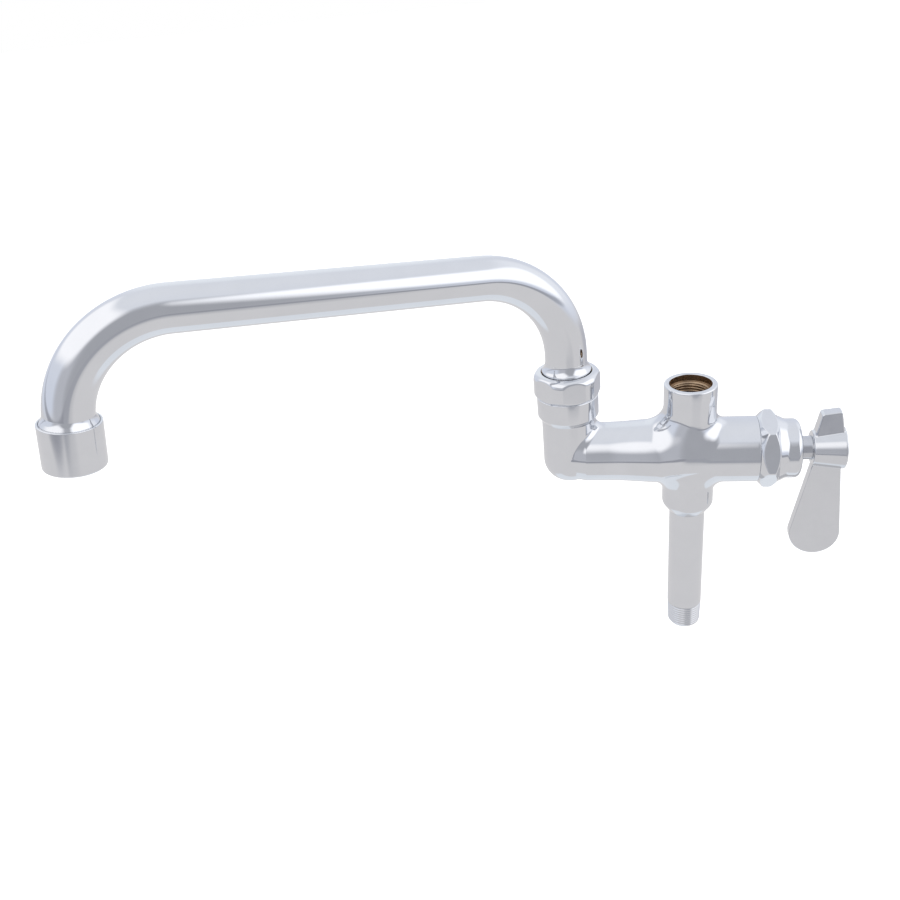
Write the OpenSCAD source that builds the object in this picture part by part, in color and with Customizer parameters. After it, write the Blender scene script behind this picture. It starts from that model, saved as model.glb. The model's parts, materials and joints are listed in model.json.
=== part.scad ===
// Add-on faucet for a pre-rinse unit: one lever valve and a swing spout on a cast body.
// Origin: centre of the inlet nipple's lower face. +X runs along the body to the lever,
// +Z is up. Units are millimetres.

/* [Inlet nipple] */
// Outside diameter of the 3/8 pipe nipple
pipe_d = 17.15; // [16.9:0.05:17.5]
// Bore of the nipple
pipe_bore_d = 12.5; // [10:0.1:13]
// Length of nipple that shows under the body
nipple_drop = 71; // [40:1:160]
// Length of nipple screwed into the body
nipple_grip = 10; // [6:0.5:12]
// Length of the pipe thread at the nipple's lower end
thread_l = 12.8; // [10:0.1:16]
// Width of the thread's run-out groove
runout_w = 1; // [0.6:0.1:2]
// Depth of the thread's run-out groove
runout_depth = 0.4; // [0.2:0.1:0.8]

/* [Body casting] */
// Height of the valve axis above the body's lower face
axis_rise = 33; // [30:1:45]
// Height of the top boss above the valve axis
boss_rise = 35.5; // [32:0.5:45]
// Diameter of the two bosses on the inlet axis
boss_d = 24.5; // [23.5:0.5:27]
// Height of the slope that closes the lower boss on the nipple
boss_slope = 4.5; // [2:0.5:6]
// Fillet where a boss or the leg meets the body
root_r = 6; // [3:0.5:8]
// Distance from the inlet axis to the swivel axis
swivel_reach = 57; // [48:1:80]
// Distance from the inlet axis to the face that the bonnet seats on
valve_reach = 31.2; // [30:0.2:38]
// Diameter of the body at its valve end
valve_end_d = 31.4; // [30:0.2:34]
// Diameter of the arm between inlet and swivel
arm_d = 27.4; // [26.4:0.2:29]
// Diameter of the leg under the swivel
leg_d = 25.5; // [24.5:0.5:27]
// Rounding of the corner under the leg
elbow_round = 11; // [4:0.5:11.5]
// Diameter of the collar under the swivel nut
collar_d = 29.2; // [28:0.2:31]
// Height of the collar's lower edge above the valve axis
collar_low = 22; // [19:0.5:24]
// Height of the collar's top face above the valve axis
collar_top = 32; // [30:0.5:33]
// Height of the slope under the collar
collar_slope = 2.6; // [1:0.1:3]

/* [Water ways] */
// Diameter of the supply way up the inlet axis
supply_d = 12.4; // [10:0.2:13]
// Diameter of the threaded socket for the riser
riser_socket_d = 15; // [14.6:0.1:15.4]
// Depth of the threaded part of the riser socket
riser_socket_l = 13.5; // [10:0.5:15]
// Diameter of the plain recess above the riser thread
riser_recess_d = 19.5; // [18:0.5:20]
// Depth of the plain recess above the riser thread
riser_recess_l = 3.5; // [2:0.5:4]
// Diameter of the two galleries that pass the supply way
gallery_d = 4.4; // [3:0.2:4.6]
// Distance of each gallery from the valve axis
gallery_offset = 10.2; // [9.8:0.1:10.4]
// Diameter of the cored way in the arm
arm_bore_d = 17; // [14:0.5:18]
// Solid metal left between the supply way and the arm's cored way
arm_web = 8; // [5:0.5:12]

/* [Swivel] */
// Height of the threaded rim above the collar
rim_l = 7.5; // [6:0.5:9]
// Diameter of the rim's thread
rim_d = 25.6; // [25:0.1:26.4]
// Bore for the spout's ferrule
swivel_bore_d = 19.9; // [19.5:0.1:20.4]
// Depth of that bore below the rim
swivel_bore_l = 17; // [15:0.5:19]
// Width of the swivel nut across its flats
nut_af = 29.6; // [28:0.2:30.4]
// Diameter that the nut's corners are turned to
nut_corner_d = 31.6; // [31.2:0.2:32.2]
// Height of the swivel nut
nut_h = 12.1; // [11.8:0.1:14]
// Turn of the nut's corners about the swivel axis
nut_turn = 16.4; // [0:0.2:59]
// Rounding of the nut's top
nut_round = 3.5; // [2:0.5:4]
// Thickness of the nut's lip
lip_t = 1.5; // [1.2:0.1:2]
// Opening in the nut's lip
lip_open_d = 24; // [23.8:0.1:24.2]
// Thickness of the split ring
split_ring_t = 1.4; // [1:0.1:1.6]
// Outside diameter of the split ring
split_ring_d = 25.1; // [24.8:0.1:25.2]
// Gap in the split ring
split_gap = 2.5; // [1:0.5:5]
// Thickness of the wear washer
wear_washer_t = 1; // [0.8:0.1:1.2]
// Diameter of the ferrule's shoulder
ferrule_d = 23.2; // [22.6:0.1:23.4]
// Bore of the ferrule
ferrule_bore_d = 14; // [12:0.5:14.4]
// Height of the flare that grips the tube above the nut
flare_h = 4.6; // [3:0.2:7]
// Thickness of the swivel's seal rings
swivel_seal_t = 1.8; // [1.6:0.1:2]
// Distance between the two seal rings
swivel_seal_pitch = 5.5; // [4:0.5:6]

/* [Spout] */
// Outside diameter of the spout tube
tube_d = 19.6; // [19:0.1:20.2]
// Wall of the spout tube
tube_wall = 1.2; // [0.8:0.1:1.6]
// Straight rise of the tube above the nut
riser_l = 8; // [6:0.5:40]
// Centreline radius of the first bend
bend_up_r = 45; // [35:1:60]
// Slope of the long straight run
rise_angle = 7; // [0:0.5:12]
// Length of the long straight run
run_l = 129; // [60:1:280]
// Centreline radius of the bend over the outlet
bend_down_r = 42.5; // [32:0.5:60]
// Lean of the outlet from vertical
outlet_lean = 9.2; // [0:0.2:20]
// Turn of the spout about its swivel, from straight away from the lever
swing = 30; // [-90:1:90]

/* [Outlet] */
// Outside diameter of the aerator shell
shell_d = 24.6; // [24.2:0.1:26]
// Length of the aerator shell
shell_l = 18.8; // [17:0.2:24]
// Wall of the aerator shell
shell_wall = 1; // [0.8:0.1:1.2]
// Width of the shell's lower lip
shell_lip = 1.8; // [1.2:0.1:2.4]
// Length of the adapter inside the shell
adapter_l = 7; // [5:0.5:8]
// Height of the adapter's flare above the shell
adapter_flare_h = 2.2; // [1.5:0.1:4]
// Thickness of the aerator washer
aerator_washer_t = 1.6; // [1.2:0.1:2]
// Thickness of the screen
screen_t = 0.4; // [0.3:0.1:0.6]

/* [Valve] */
// Distance from the inlet axis to the valve seat
seat_reach = 10; // [9.5:0.1:10.5]
// Diameter of the port in the valve seat
seat_port_d = 10; // [8:0.5:11]
// Diameter of the valve chamber
chamber_d = 24.2; // [23.6:0.1:24.6]
// Thickness of the seat seal
seat_seal_t = 1.2; // [1:0.1:1.5]
// Width of the seat seal's ring
seat_seal_w = 2.5; // [1.5:0.1:2.8]
// Outside diameter of the cartridge sleeve
sleeve_d = 18.6; // [18:0.1:19]
// Wall of the cartridge sleeve
sleeve_wall = 1.2; // [1:0.1:1.4]
// Diameter of the discs' water ports
disc_port_d = 4.4; // [3:0.2:5]
// Distance of each port from the valve axis
disc_port_offset = 4.2; // [3.6:0.1:4.6]
// Thickness of each ceramic disc
disc_t = 2.8; // [2:0.1:3]
// Thickness of the stem's foot
foot_t = 2.6; // [2:0.1:3]
// Thickness of the thrust washer
thrust_washer_t = 1; // [0.8:0.1:1.2]
// Thickness of the cartridge flange
flange_t = 2.4; // [2:0.1:3]
// Thickness of the cartridge gasket
gasket_t = 1; // [0.8:0.1:1.2]
// Diameter of the stem
stem_d = 11.2; // [10.6:0.1:11.6]
// Thickness of the stem's seal rings
stem_seal_t = 1.4; // [1.2:0.1:1.6]
// Distance between the stem's two seal rings
stem_seal_pitch = 6; // [4:0.5:7]
// Width of the bonnet's hexagon across its flats
hex_af = 33; // [32:0.1:34]
// Turn of the hexagon's corners about the valve axis
hex_turn = 41; // [0:1:59]
// Length of the bonnet outside the body
bonnet_l = 19.6; // [18:0.1:24]
// Length of the hexagon
hex_l = 8.2; // [7:0.1:9]
// Length of the slope behind the hexagon
hex_slope_l = 4.4; // [3:0.1:5]
// Diameter of the bonnet's barrel
barrel_d = 28.2; // [27.4:0.1:29.4]
// Rounding of the barrel's end
barrel_round = 2.4; // [1:0.2:3.4]
// Thickness of the stem clip
clip_t = 0.8; // [0.6:0.1:1]
// Width of the stem clip's ring
clip_w = 2; // [1.6:0.1:2.2]

/* [Lever] */
// Gap between the bonnet and the lever's hub
hub_gap = 5.3; // [2:0.1:8]
// Length of the hub
hub_l = 14.5; // [14:0.1:20]
// Diameter of the hub at its valve end
hub_d = 16.4; // [15.6:0.1:19]
// Diameter of the hub at its outer end
hub_end_d = 20.6; // [19.6:0.1:24]
// Rounding of the hub's outer edge
hub_round = 1.5; // [0.5:0.1:2]
// Diameter of the stem's end inside the hub
spigot_d = 9; // [8:0.1:9.6]
// Length of the stem's end inside the hub
spigot_l = 9; // [7:0.5:9.5]
// Thickness of the web that the handle screw clamps
hub_web = 2; // [1.5:0.1:2.4]
// Distance from the valve axis to the lowest point of the blade
blade_drop = 58.8; // [45:0.2:80]
// Radius of the blade's end
blade_end_r = 11.8; // [9:0.2:14]
// Set-back of the blade's end towards the valve, from the hub's middle
blade_back = 2.2; // [0:0.1:5]
// Width of the blade at the hub
blade_root_w = 12.8; // [10:0.2:14]
// Thickness of the blade
blade_t = 5.8; // [3:0.2:7]
// Height of the thumb wing's outer corner above the valve axis
wing_rise = 19.8; // [14:0.1:24]
// Drop of the wing's top edge towards the valve
wing_slope = 1.1; // [0:0.1:2]
// Width of the wing at its top
wing_top_w = 8.6; // [6:0.2:12]
// Width of the wing at the hub
wing_root_w = 13.2; // [10:0.2:14]
// Thickness of the wing
wing_t = 7; // [4:0.1:8]
// Diameter of the handle screw's thread
screw_d = 4; // [3:0.1:4.4]
// Length of the handle screw under its head
screw_l = 8; // [6:0.5:9]
// Diameter of the handle screw's head
screw_head_d = 7.6; // [7:0.1:9]
// Height of the handle screw's head
screw_head_h = 1.6; // [1.2:0.1:2]
// Diameter of the index button
button_d = 14; // [12:0.5:15]
// Thickness of the index button
button_t = 1.6; // [1.4:0.1:2]

/* [Clearances] */
// Radial gap of a turning fit
running = 0.05; // [0.02:0.01:0.1]
// Gap between faces that slide past each other
sliding = 0.05; // [0.02:0.01:0.1]
// Radial gap of a screwed or pushed-in fit
fit_gap = 0.05; // [0.02:0.01:0.1]

/* [Hidden] */
$fn = 96;
cut = 1;                                            // overshoot of a cutting tool
hex_corner = 1 / cos(30);                           // corner width of a hexagon per flat width
corner_trim = 0.2;                                  // depth that a hexagon's corners are broken by
body_low = nipple_drop;                             // lower face of the body
axis_z = body_low + axis_rise;                      // valve axis
boss_top = axis_z + boss_rise;
collar_z = axis_z + collar_low;
nut_z = axis_z + collar_top;
rim_z = nut_z + rim_l;
nut_top = nut_z + nut_h;
swivel_floor = rim_z - swivel_bore_l;
arm_bore_end = -supply_d / 2 - arm_web;
gallery_lap = 12;                                   // stretch where the galleries open into the arm
boss_lip = 0.6;                                     // width of the lower boss's edge round the nipple
root_ease = 0.05;                                   // set-in of a fillet's ends in the post and body
body_profile = [[-swivel_reach, leg_d / 2], [leg_d - swivel_reach, arm_d / 2], [-boss_d, arm_d / 2],
                [boss_d / 4, valve_end_d / 2], [valve_reach, valve_end_d / 2]];

lip_z = nut_top - lip_t;                            // underside of the nut's lip
ring_z = lip_z - sliding - split_ring_t;            // underside of the split ring
shoulder_z = rim_z + wear_washer_t + sliding;       // underside of the ferrule's shoulder
groove_depth = 1.1;                                 // depth of the split ring's groove
ring_bore_d = ferrule_d - 2 * groove_depth;
stem_fit_d = swivel_bore_d - 2 * running;           // ferrule's stem in the body
seal_seat_d = stem_fit_d - 2 * swivel_seal_t;       // bottom of a swivel seal groove
ferrule_lift = 1;                                   // space left under the ferrule
ferrule_low = swivel_floor + ferrule_lift;
seal_set = 3;                                       // from a seal ring to the end of its bore
seal_low = ferrule_low + seal_set;                  // lower swivel seal
tube_stop = 0.2;                                    // height of the step that the tube stands on
tube_foot = nut_top + tube_stop;                    // lower end of the tube in the ferrule
flare_edge = 0.4;                                   // thickness left at a flare's thin edge

outlet_turn = 90 + rise_angle - outlet_lean;        // turn of the second bend
run_start = [bend_up_r * (1 - sin(rise_angle)), riser_l + bend_up_r * cos(rise_angle)];
run_end = run_start + run_l * [cos(rise_angle), sin(rise_angle)];
bend_down_c = run_end + bend_down_r * [sin(rise_angle), -cos(rise_angle)];
outlet_at = bend_down_c + bend_down_r * [cos(outlet_lean), sin(outlet_lean)];
tube_bore_d = tube_d - 2 * tube_wall;
tube_sizing = 0.03;                                 // the tube's straights are sized this much larger
tube_lap = 0.3;                                     // length of bend inside each sized straight
tube_end_d = tube_d + 2 * tube_sizing;
shell_in_d = shell_d - 2 * shell_wall;
adapter_d = shell_in_d - 2 * fit_gap;
adapter_stop = 1.2;                                 // step in the adapter that the tube ends on
tail_l = adapter_l - adapter_stop;                  // straight end of the tube in the adapter
insert_z = adapter_l + aerator_washer_t + screen_t;

seal_x = seat_reach + seat_seal_t;                  // valve stack, from the seat outwards
moving_x = seal_x + disc_t + sliding;
foot_x = moving_x + disc_t;
washer_x = foot_x + foot_t;
flange_x = washer_x + thrust_washer_t + sliding;
gasket_x = flange_x + flange_t;
bonnet_in_x = gasket_x + gasket_t;
bonnet_end = valve_reach + bonnet_l;
hub_x = bonnet_end + hub_gap;
hub_end = hub_x + hub_l;
hub_mid = hub_x + hub_l / 2;
bonnet_fit_d = chamber_d - 2 * fit_gap;
disc_d = sleeve_d - 2 * sleeve_wall - 2 * fit_gap;
stem_bore_d = stem_d + 2 * running;
stem_seal_seat_d = stem_d - 2 * stem_seal_t;
stem_seal_x = valve_reach + seal_set;
clip_inset = 2;                                     // from the bonnet's end to the stem clip
clip_depth = 0.7;                                   // depth of the clip's groove in the stem
clip_x = bonnet_end - clip_inset;
clip_seat_d = stem_d - 2 * clip_depth;
clip_d = clip_seat_d + 2 * clip_w;
dome_l = 0.8;                                        // length of the bonnet's domed end
spigot_end = hub_x + spigot_l;
web_x = spigot_end;
head_x = web_x + hub_web;
button_proud = 0.4;                                 // height of the button above the hub's end
button_x = hub_end - button_t + button_proud;
blade_foot = 8;                                     // depth at which blade and wing leave the hub

// A round bar from a to b along the valve axis
module axial(d, a, b) {
    translate([a, 0, axis_z]) rotate([0, 90, 0]) cylinder(d = d, h = b - a);
}

// A profile of [radius, distance] revolved about the valve axis
module turned(points) {
    translate([0, 0, axis_z]) rotate([0, 90, 0]) rotate_extrude() polygon(points);
}

// A round post on a vertical axis
module post(d, a, b) {
    translate([0, 0, a]) cylinder(d = d, h = b - a);
}

module at_swivel() {
    translate([-swivel_reach, 0, 0]) children();
}

// A seal ring about +Z that lies in a groove of floor diameter seat_d and depth t
module seal_ring(seat_d, t) {
    rotate_extrude() translate([seat_d / 2 + t / 2, 0]) circle(d = t - fit_gap);
}

module tube_ring(outer_d, inner_d, h) {
    difference() {
        cylinder(d = outer_d, h = h);
        translate([0, 0, -cut]) cylinder(d = inner_d, h = h + 2 * cut);
    }
}

// Outside radius of the body at x
function body_r(x) = lookup(x, body_profile);

// Fillet between the body and a post at x: a bend that runs from the post's axis into the body
module root_bend(x, post_r, x_side, z_side) {
    centre_x = x + x_side * (post_r + root_r);
    translate([centre_x, 0, axis_z + z_side * (body_r(centre_x) + root_r)])
        mirror([x_side > 0 ? 0 : 1, 0, 0]) mirror([0, 0, z_side > 0 ? 0 : 1])
            rotate([90, 0, 0]) rotate([0, 0, 180]) rotate_extrude(angle = 90)
                translate([root_r + post_r, 0]) circle(r = post_r - root_ease);
}

// Frame of the spout: +X points from the swivel to the outlet, z = 0 is the tube's foot
module spout_frame() {
    translate([-swivel_reach, 0, tube_foot]) rotate([0, 0, 180 + swing]) children();
}

// Frame of the outlet: +Z is the way that the water leaves
module outlet_frame() {
    spout_frame() translate([outlet_at[0], 0, outlet_at[1]])
        rotate([0, 180 - outlet_lean, 0]) children();
}

// ---- Body ----

module casting_outside() {
    leg_top = collar_z - collar_slope;
    // Arm and valve end
    turned([[0, -swivel_reach], for (p = body_profile) [p[1], p[0]], [0, valve_reach]]);
    // Bosses on the inlet axis
    post(boss_d, axis_z, boss_top);
    post(boss_d, body_low + boss_slope, axis_z);
    translate([0, 0, body_low])
        cylinder(d1 = pipe_d + 2 * boss_lip, d2 = boss_d, h = boss_slope);
    for (x_side = [-1, 1], z_side = [-1, 1]) root_bend(0, boss_d / 2, x_side, z_side);
    root_bend(-swivel_reach, leg_d / 2, 1, 1);
    // Leg, collar and threaded rim under the swivel
    at_swivel() {
        post(leg_d, axis_z - arm_d / 2 + elbow_round, collar_z);
        post(leg_d - 2 * elbow_round, axis_z - arm_d / 2, axis_z);
        translate([0, 0, axis_z - arm_d / 2 + elbow_round]) rotate_extrude() intersection() {
            translate([leg_d / 2 - elbow_round, 0]) circle(r = elbow_round);
            translate([0, -elbow_round]) square([leg_d, 2 * elbow_round]);
        }
        translate([0, 0, leg_top]) cylinder(d1 = leg_d, d2 = collar_d, h = collar_slope);
        post(collar_d, collar_z, nut_z);
        post(rim_d, nut_z, rim_z);
    }
}

module casting_inside() {
    // Supply way, nipple socket and riser socket on the inlet axis
    post(supply_d, body_low + nipple_grip - cut, boss_top - riser_socket_l);
    post(pipe_d + 2 * fit_gap, body_low - cut, body_low + nipple_grip);
    post(riser_socket_d, boss_top - riser_recess_l - riser_socket_l, boss_top - cut);
    post(riser_recess_d, boss_top - riser_recess_l, boss_top + cut);
    // Port, chamber and the galleries that lead back past the supply way
    axial(seat_port_d, 0, seat_reach + cut);
    axial(chamber_d, seat_reach, valve_reach + cut);
    for (side = [-1, 1]) translate([0, side * gallery_offset, 0])
        axial(gallery_d, arm_bore_end - gallery_lap, seat_reach + cut);
    // Arm and leg up to the ferrule
    axial(arm_bore_d, -swivel_reach, arm_bore_end);
    at_swivel() {
        translate([0, 0, axis_z]) sphere(d = arm_bore_d);
        post(arm_bore_d, axis_z, swivel_floor + cut);
        post(swivel_bore_d, swivel_floor, rim_z + cut);
    }
}

module body_casting() {
    color("lightgray") difference() {
        casting_outside();
        casting_inside();
    }
}

module inlet_nipple() {
    color("silver") difference() {
        post(pipe_d, 0, nipple_drop + nipple_grip);
        post(pipe_bore_d, -cut, nipple_drop + nipple_grip + cut);
        translate([0, 0, thread_l]) tube_ring(pipe_d + cut, pipe_d - 2 * runout_depth, runout_w);
    }
}

// ---- Swivel ----

module swivel_nut() {
    corner_r = nut_corner_d / 2;
    cavity_d = rim_d + 2 * fit_gap;
    color("silver") at_swivel() difference() {
        intersection() {
            translate([0, 0, nut_z]) rotate([0, 0, nut_turn])
                cylinder(d = nut_af * hex_corner, h = nut_h, $fn = 6);
            translate([0, 0, nut_z]) rotate_extrude() union() {
                polygon([[0, 0], [collar_d / 2, 0], [corner_r, corner_r - collar_d / 2],
                         [corner_r, nut_h - nut_round], [0, nut_h - nut_round]]);
                square([corner_r - nut_round, nut_h]);
                translate([corner_r - nut_round, nut_h - nut_round]) circle(r = nut_round);
            }
        }
        post(cavity_d, nut_z - cut, lip_z);
        post(lip_open_d, lip_z - cut, nut_top + cut);
    }
}

module split_ring() {
    color("goldenrod") at_swivel() translate([0, 0, ring_z]) difference() {
        tube_ring(split_ring_d, ring_bore_d + 2 * fit_gap, split_ring_t);
        translate([0, -split_gap / 2, -cut]) cube([split_ring_d, split_gap, split_ring_t + 2 * cut]);
    }
}

module wear_washer() {
    color("white") at_swivel() translate([0, 0, rim_z])
        tube_ring(rim_d - 2 * fit_gap, swivel_bore_d, wear_washer_t);
}

module swivel_seals() {
    color("dimgray") at_swivel() for (k = [0, 1])
        translate([0, 0, seal_low + k * swivel_seal_pitch])
            seal_ring(seal_seat_d, swivel_seal_t);
}

module spout_ferrule() {
    flare_w = (ferrule_d - tube_d) / 2 - flare_edge;
    flare_r = (flare_w * flare_w + flare_h * flare_h) / (2 * flare_w);
    color("silver") at_swivel() difference() {
        union() {
            post(stem_fit_d, ferrule_low, shoulder_z + cut);
            post(ferrule_d, shoulder_z, nut_top + flare_edge);
            // Hollow flare that closes on the tube
            translate([0, 0, nut_top + flare_edge]) rotate_extrude() difference() {
                square([ferrule_d / 2, flare_h]);
                translate([tube_d / 2 + flare_edge + flare_r, flare_h]) circle(r = flare_r);
            }
        }
        post(ferrule_bore_d, ferrule_low - cut, tube_foot + cut);
        post(tube_end_d + 2 * fit_gap, tube_foot, nut_top + flare_h + cut);
        // Seat of the split ring
        translate([0, 0, ring_z])
            tube_ring(ferrule_d + cut, ring_bore_d, split_ring_t + sliding);
        // Seats of the two seal rings
        for (k = [0, 1]) translate([0, 0, seal_low + k * swivel_seal_pitch - swivel_seal_t / 2])
            tube_ring(stem_fit_d + cut, seal_seat_d, swivel_seal_t);
    }
}

// ---- Spout ----

// A bend of the tube in the XZ plane about c, from angle a through sweep
module tube_bend(c, r, a, sweep) {
    translate([c[0], 0, c[1]]) rotate([90, 0, 0]) rotate([0, 0, a])
        rotate_extrude(angle = sweep) translate([r, 0]) difference() {
            circle(d = tube_d);
            circle(d = tube_bore_d);
        }
}

// A straight stretch of the tube, sized a hair thicker than the bends that it laps
module tube_straight(a, b) {
    translate([0, 0, a]) tube_ring(tube_end_d, tube_bore_d - 2 * tube_sizing, b - a);
}

module spout_tube() {
    color("silver") {
        spout_frame() {
            tube_straight(0, riser_l + tube_lap);
            tube_bend([bend_up_r, riser_l], bend_up_r, 90 + rise_angle, 90 - rise_angle);
            translate([run_start[0], 0, run_start[1]]) rotate([0, 90 - rise_angle, 0])
                tube_straight(-tube_lap, run_l + tube_lap);
            tube_bend(bend_down_c, bend_down_r, outlet_lean, outlet_turn);
        }
        outlet_frame() tube_straight(-tube_lap, tail_l);
    }
}

module outlet_adapter() {
    color("silver") outlet_frame() difference() {
        union() {
            cylinder(d = adapter_d, h = adapter_l);
            translate([0, 0, -adapter_flare_h])
                cylinder(d1 = tube_end_d + 2 * fit_gap + 2 * flare_edge, d2 = adapter_d,
                         h = adapter_flare_h);
        }
        translate([0, 0, -adapter_flare_h - cut])
            cylinder(d = tube_end_d + 2 * fit_gap, h = adapter_flare_h + tail_l + cut);
        translate([0, 0, -cut]) cylinder(d = tube_bore_d, h = adapter_l + 2 * cut);
    }
}

module aerator_shell() {
    lip_in_d = shell_in_d - 2 * shell_lip;
    color("silver") outlet_frame() difference() {
        union() {
            cylinder(d = shell_d, h = shell_l - shell_wall);
            translate([0, 0, shell_l - shell_wall])
                cylinder(d1 = shell_d, d2 = shell_d - shell_wall, h = shell_wall);
        }
        translate([0, 0, -cut]) cylinder(d = shell_in_d, h = shell_l - shell_wall + cut);
        translate([0, 0, -cut]) cylinder(d = lip_in_d, h = shell_l + 2 * cut);
    }
}

module aerator_washer() {
    color("dimgray") outlet_frame() translate([0, 0, adapter_l])
        tube_ring(adapter_d, tube_bore_d, aerator_washer_t);
}

// Screen disc with rows of square openings
module aerator_screen() {
    mesh_pitch = 3;
    mesh_open = 2;
    mesh_reach = floor(tube_bore_d / 2 / mesh_pitch - 0.5);
    color("gray") outlet_frame() translate([0, 0, adapter_l + aerator_washer_t]) difference() {
        cylinder(d = adapter_d, h = screen_t);
        for (i = [-mesh_reach:mesh_reach], j = [-mesh_reach:mesh_reach])
            if (norm([i, j]) <= mesh_reach)
                translate([i * mesh_pitch - mesh_open / 2, j * mesh_pitch - mesh_open / 2, -cut])
                    cube([mesh_open, mesh_open, screen_t + 2 * cut]);
    }
}

// Plastic insert with rings of slots that break up the stream
module aerator_insert() {
    jet_d = 1.8;
    jet_rings = [[6, 3], [12, 6]];
    insert_h = shell_l - shell_wall - insert_z;
    color("white") outlet_frame() translate([0, 0, insert_z]) difference() {
        cylinder(d = adapter_d, h = insert_h);
        for (ring = jet_rings, k = [1:ring[0]]) rotate([0, 0, 360 * k / ring[0]])
            translate([ring[1], 0, -cut]) cylinder(d = jet_d, h = insert_h + 2 * cut);
    }
}

// ---- Valve ----

module bonnet() {
    corner_r = hex_af * hex_corner / 2 - corner_trim;
    flat_r = hex_af / 2;
    slope_l = corner_r - valve_end_d / 2;
    hex_end = valve_reach + hex_l;
    barrel_x = hex_end + hex_slope_l;
    dome_x = bonnet_end - dome_l;
    dome_d = barrel_d - 2 * barrel_round;
    color("silver") difference() {
        union() {
            axial(bonnet_fit_d, bonnet_in_x, valve_reach + cut);
            intersection() {
                translate([valve_reach, 0, axis_z]) rotate([0, 90, 0]) rotate([0, 0, hex_turn])
                    cylinder(d = hex_af * hex_corner, h = bonnet_l, $fn = 6);
                turned([[0, valve_reach], [valve_end_d / 2, valve_reach],
                        [corner_r, valve_reach + slope_l], [corner_r, hex_end - slope_l / 2],
                        [flat_r, hex_end], [barrel_d / 2, barrel_x], [0, barrel_x]]);
            }
            axial(barrel_d, barrel_x - cut, dome_x - barrel_round);
            axial(dome_d, barrel_x, dome_x);
            translate([dome_x - barrel_round, 0, axis_z]) rotate([0, 90, 0])
                rotate_extrude() translate([dome_d / 2, 0]) circle(r = barrel_round);
            turned([[0, dome_x - dome_l], [dome_d / 2, dome_x - dome_l], [dome_d / 2, dome_x],
                    [clip_d / 2 + dome_l, bonnet_end], [0, bonnet_end]]);
        }
        axial(stem_bore_d, bonnet_in_x - cut, bonnet_end + cut);
        axial(clip_d + 4 * running, clip_x - sliding, bonnet_end + cut);
    }
}

module stem_seals() {
    color("dimgray") for (k = [0, 1])
        translate([stem_seal_x + k * stem_seal_pitch, 0, axis_z]) rotate([0, 90, 0])
            seal_ring(stem_seal_seat_d, stem_seal_t);
}

module stem_clip() {
    color("goldenrod") difference() {
        axial(clip_d, clip_x, clip_x + clip_t);
        axial(clip_seat_d + 2 * fit_gap, clip_x - cut, clip_x + clip_t + cut);
        translate([clip_x - cut, -clip_seat_d / 4, axis_z])
            cube([clip_t + 2 * cut, clip_seat_d / 2, clip_d]);
    }
}

module valve_stem() {
    tap_d = screw_d + 2 * fit_gap;
    color("darkgray") difference() {
        union() {
            axial(disc_d, foot_x, washer_x);
            axial(stem_d, foot_x, hub_x);
            axial(spigot_d, foot_x, spigot_end - fit_gap);
        }
        for (k = [0, 1]) {
            x = stem_seal_x + k * stem_seal_pitch;
            difference() {
                axial(stem_d + cut, x - stem_seal_t / 2, x + stem_seal_t / 2);
                axial(stem_seal_seat_d, x - stem_seal_t, x + stem_seal_t);
            }
        }
        difference() {
            axial(stem_d + cut, clip_x - sliding, clip_x + clip_t + sliding);
            axial(clip_seat_d, clip_x - cut, clip_x + clip_t + cut);
        }
        axial(tap_d, head_x - screw_l - cut, spigot_end + cut);
    }
}

module cartridge_sleeve() {
    sleeve_in_d = sleeve_d - 2 * sleeve_wall;
    window_w = 6;
    color("goldenrod") difference() {
        union() {
            axial(sleeve_d, seal_x, gasket_x);
            axial(bonnet_fit_d, flange_x, gasket_x);
        }
        axial(sleeve_in_d, seal_x - cut, flange_x);
        axial(stem_bore_d, flange_x - cut, gasket_x + cut);
        // Windows that let the water out to the galleries
        translate([moving_x, -sleeve_d, axis_z - window_w / 2])
            cube([disc_t, 2 * sleeve_d, window_w]);
    }
}

module cartridge_gasket() {
    gasket_clear = 1;
    color("saddlebrown") difference() {
        axial(bonnet_fit_d, gasket_x, bonnet_in_x);
        axial(stem_bore_d + 2 * gasket_clear, gasket_x - cut, bonnet_in_x + cut);
    }
}

module thrust_washer() {
    color("white") difference() {
        axial(disc_d, washer_x, washer_x + thrust_washer_t);
        axial(stem_d + 2 * fit_gap, washer_x - cut, washer_x + thrust_washer_t + cut);
    }
}

// A ceramic disc with two water ports
module disc_blank(x, turn) {
    difference() {
        axial(disc_d, x, x + disc_t);
        for (side = [-1, 1]) translate([0, 0, axis_z]) rotate([turn, 0, 0])
            translate([x - cut, 0, side * disc_port_offset]) rotate([0, 90, 0])
                cylinder(d = disc_port_d, h = disc_t + 2 * cut);
    }
}

module moving_disc() {
    shut_turn = 90;
    color("ivory") disc_blank(moving_x, shut_turn);
}

module fixed_disc() {
    color("ivory") disc_blank(seal_x, 0);
}

module seat_seal() {
    color("dimgray") difference() {
        axial(seat_port_d + 2 * seat_seal_w, seat_reach, seal_x);
        axial(seat_port_d, seat_reach - cut, seal_x + cut);
    }
}

// ---- Lever ----

// Point where a line from p touches the circle of radius r about c, on the given side
function touch(p, c, r, side) =
    let (d = c - p, reach = norm(d), toward = atan2(d[1], d[0]), off = asin(r / reach),
         l = sqrt(reach * reach - r * r))
    p + l * [cos(toward + side * off), sin(toward + side * off)];

module blade_outline() {
    end_c = [hub_mid - blade_back, -blade_drop + blade_end_r];
    root_a = [hub_mid - blade_root_w / 2, -blade_foot];
    root_b = [hub_mid + blade_root_w / 2, -blade_foot];
    polygon([root_a, touch(root_a, end_c, blade_end_r, -1), end_c,
             touch(root_b, end_c, blade_end_r, 1), root_b,
             [hub_mid + blade_root_w / 2, 0], [hub_mid - blade_root_w / 2, 0]]);
    translate(end_c) circle(r = blade_end_r);
}

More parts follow.
